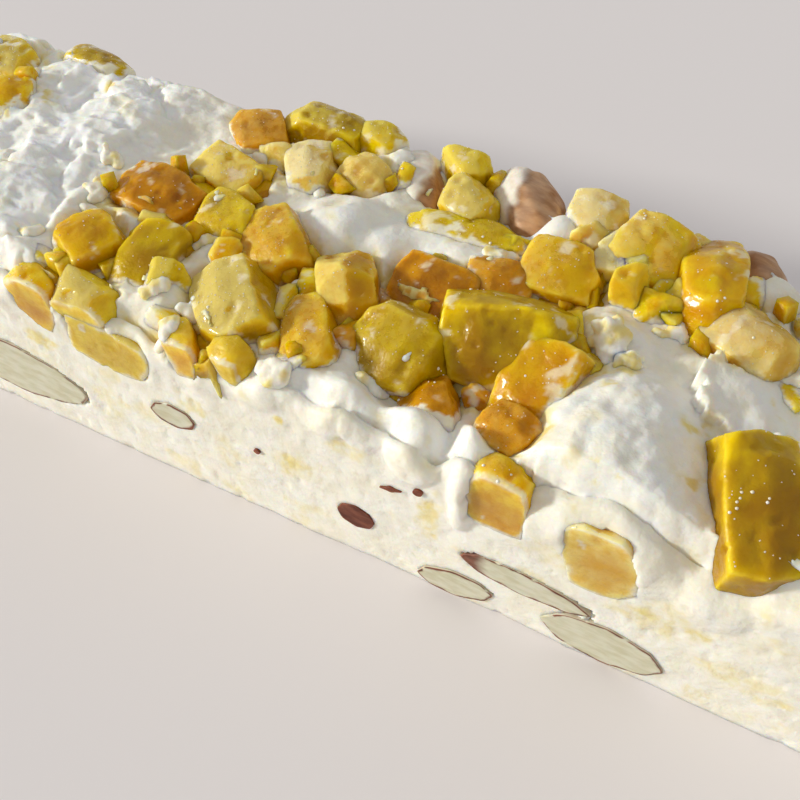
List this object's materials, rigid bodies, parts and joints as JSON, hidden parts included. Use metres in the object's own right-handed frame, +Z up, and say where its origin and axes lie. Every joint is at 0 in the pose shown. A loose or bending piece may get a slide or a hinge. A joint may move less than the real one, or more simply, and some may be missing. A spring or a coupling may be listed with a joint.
{
  "type": "nougat bar",
  "caption": "Bar of soft white nougat with candied citrus pieces pressed into a craggy top and almonds showing in its cut side.",
  "frame": {"origin": "centre of the flat base, on the surface the bar rests on", "axes": "+X along the bar, +Y across it away from the side that shows the cut almonds, +Z up"},
  "size_m": [0.15, 0.038, 0.0271],
  "materials": {
    "nougat": "soft satin",
    "almond": "dry, finely wrinkled",
    "orange": "sticky gloss",
    "amber": "sticky gloss",
    "citron": "sticky gloss with a light sugar frost",
    "peel": "frosted gloss",
    "lemon": "frosted gloss"
  },
  "bodies": {
    "root": {"almond_01": "almond", "almond_02": "almond", "almond_03": "almond", "almond_04": "almond", "almond_05": "almond", "almond_06": "almond", "almond_07": "almond", "almond_08": "almond", "almond_09": "almond", "almond_10": "almond", "almond_11": "almond", "amber_01": "amber", "amber_02": "amber", "amber_03": "amber", "amber_04": "amber", "amber_05": "amber", "amber_06": "amber", "amber_07": "amber", "amber_08": "amber", "citron_01": "citron", "citron_02": "citron", "citron_03": "citron", "citron_04": "citron", "citron_05": "citron", "citron_06": "citron", "citron_07": "citron", "citron_08": "citron", "citron_09": "citron", "citron_10": "citron", "citron_11": "citron", "citron_12": "citron", "lemon_01": "lemon", "lemon_02": "lemon", "lemon_03": "lemon", "lemon_04": "lemon", "lemon_05": "lemon", "lemon_06": "lemon", "lemon_07": "lemon", "lemon_08": "lemon", "nougat": "nougat", "orange_01": "orange", "orange_02": "orange", "orange_03": "orange", "orange_04": "orange", "orange_05": "orange", "orange_06": "orange", "orange_07": "orange", "orange_08": "orange", "orange_09": "orange", "orange_10": "orange", "orange_11": "orange", "orange_12": "orange", "orange_13": "orange", "orange_14": "orange", "orange_15": "orange", "peel_01": "peel", "peel_02": "peel", "peel_03": "peel", "peel_04": "peel", "peel_05": "peel"}
  },
  "joints": []
}
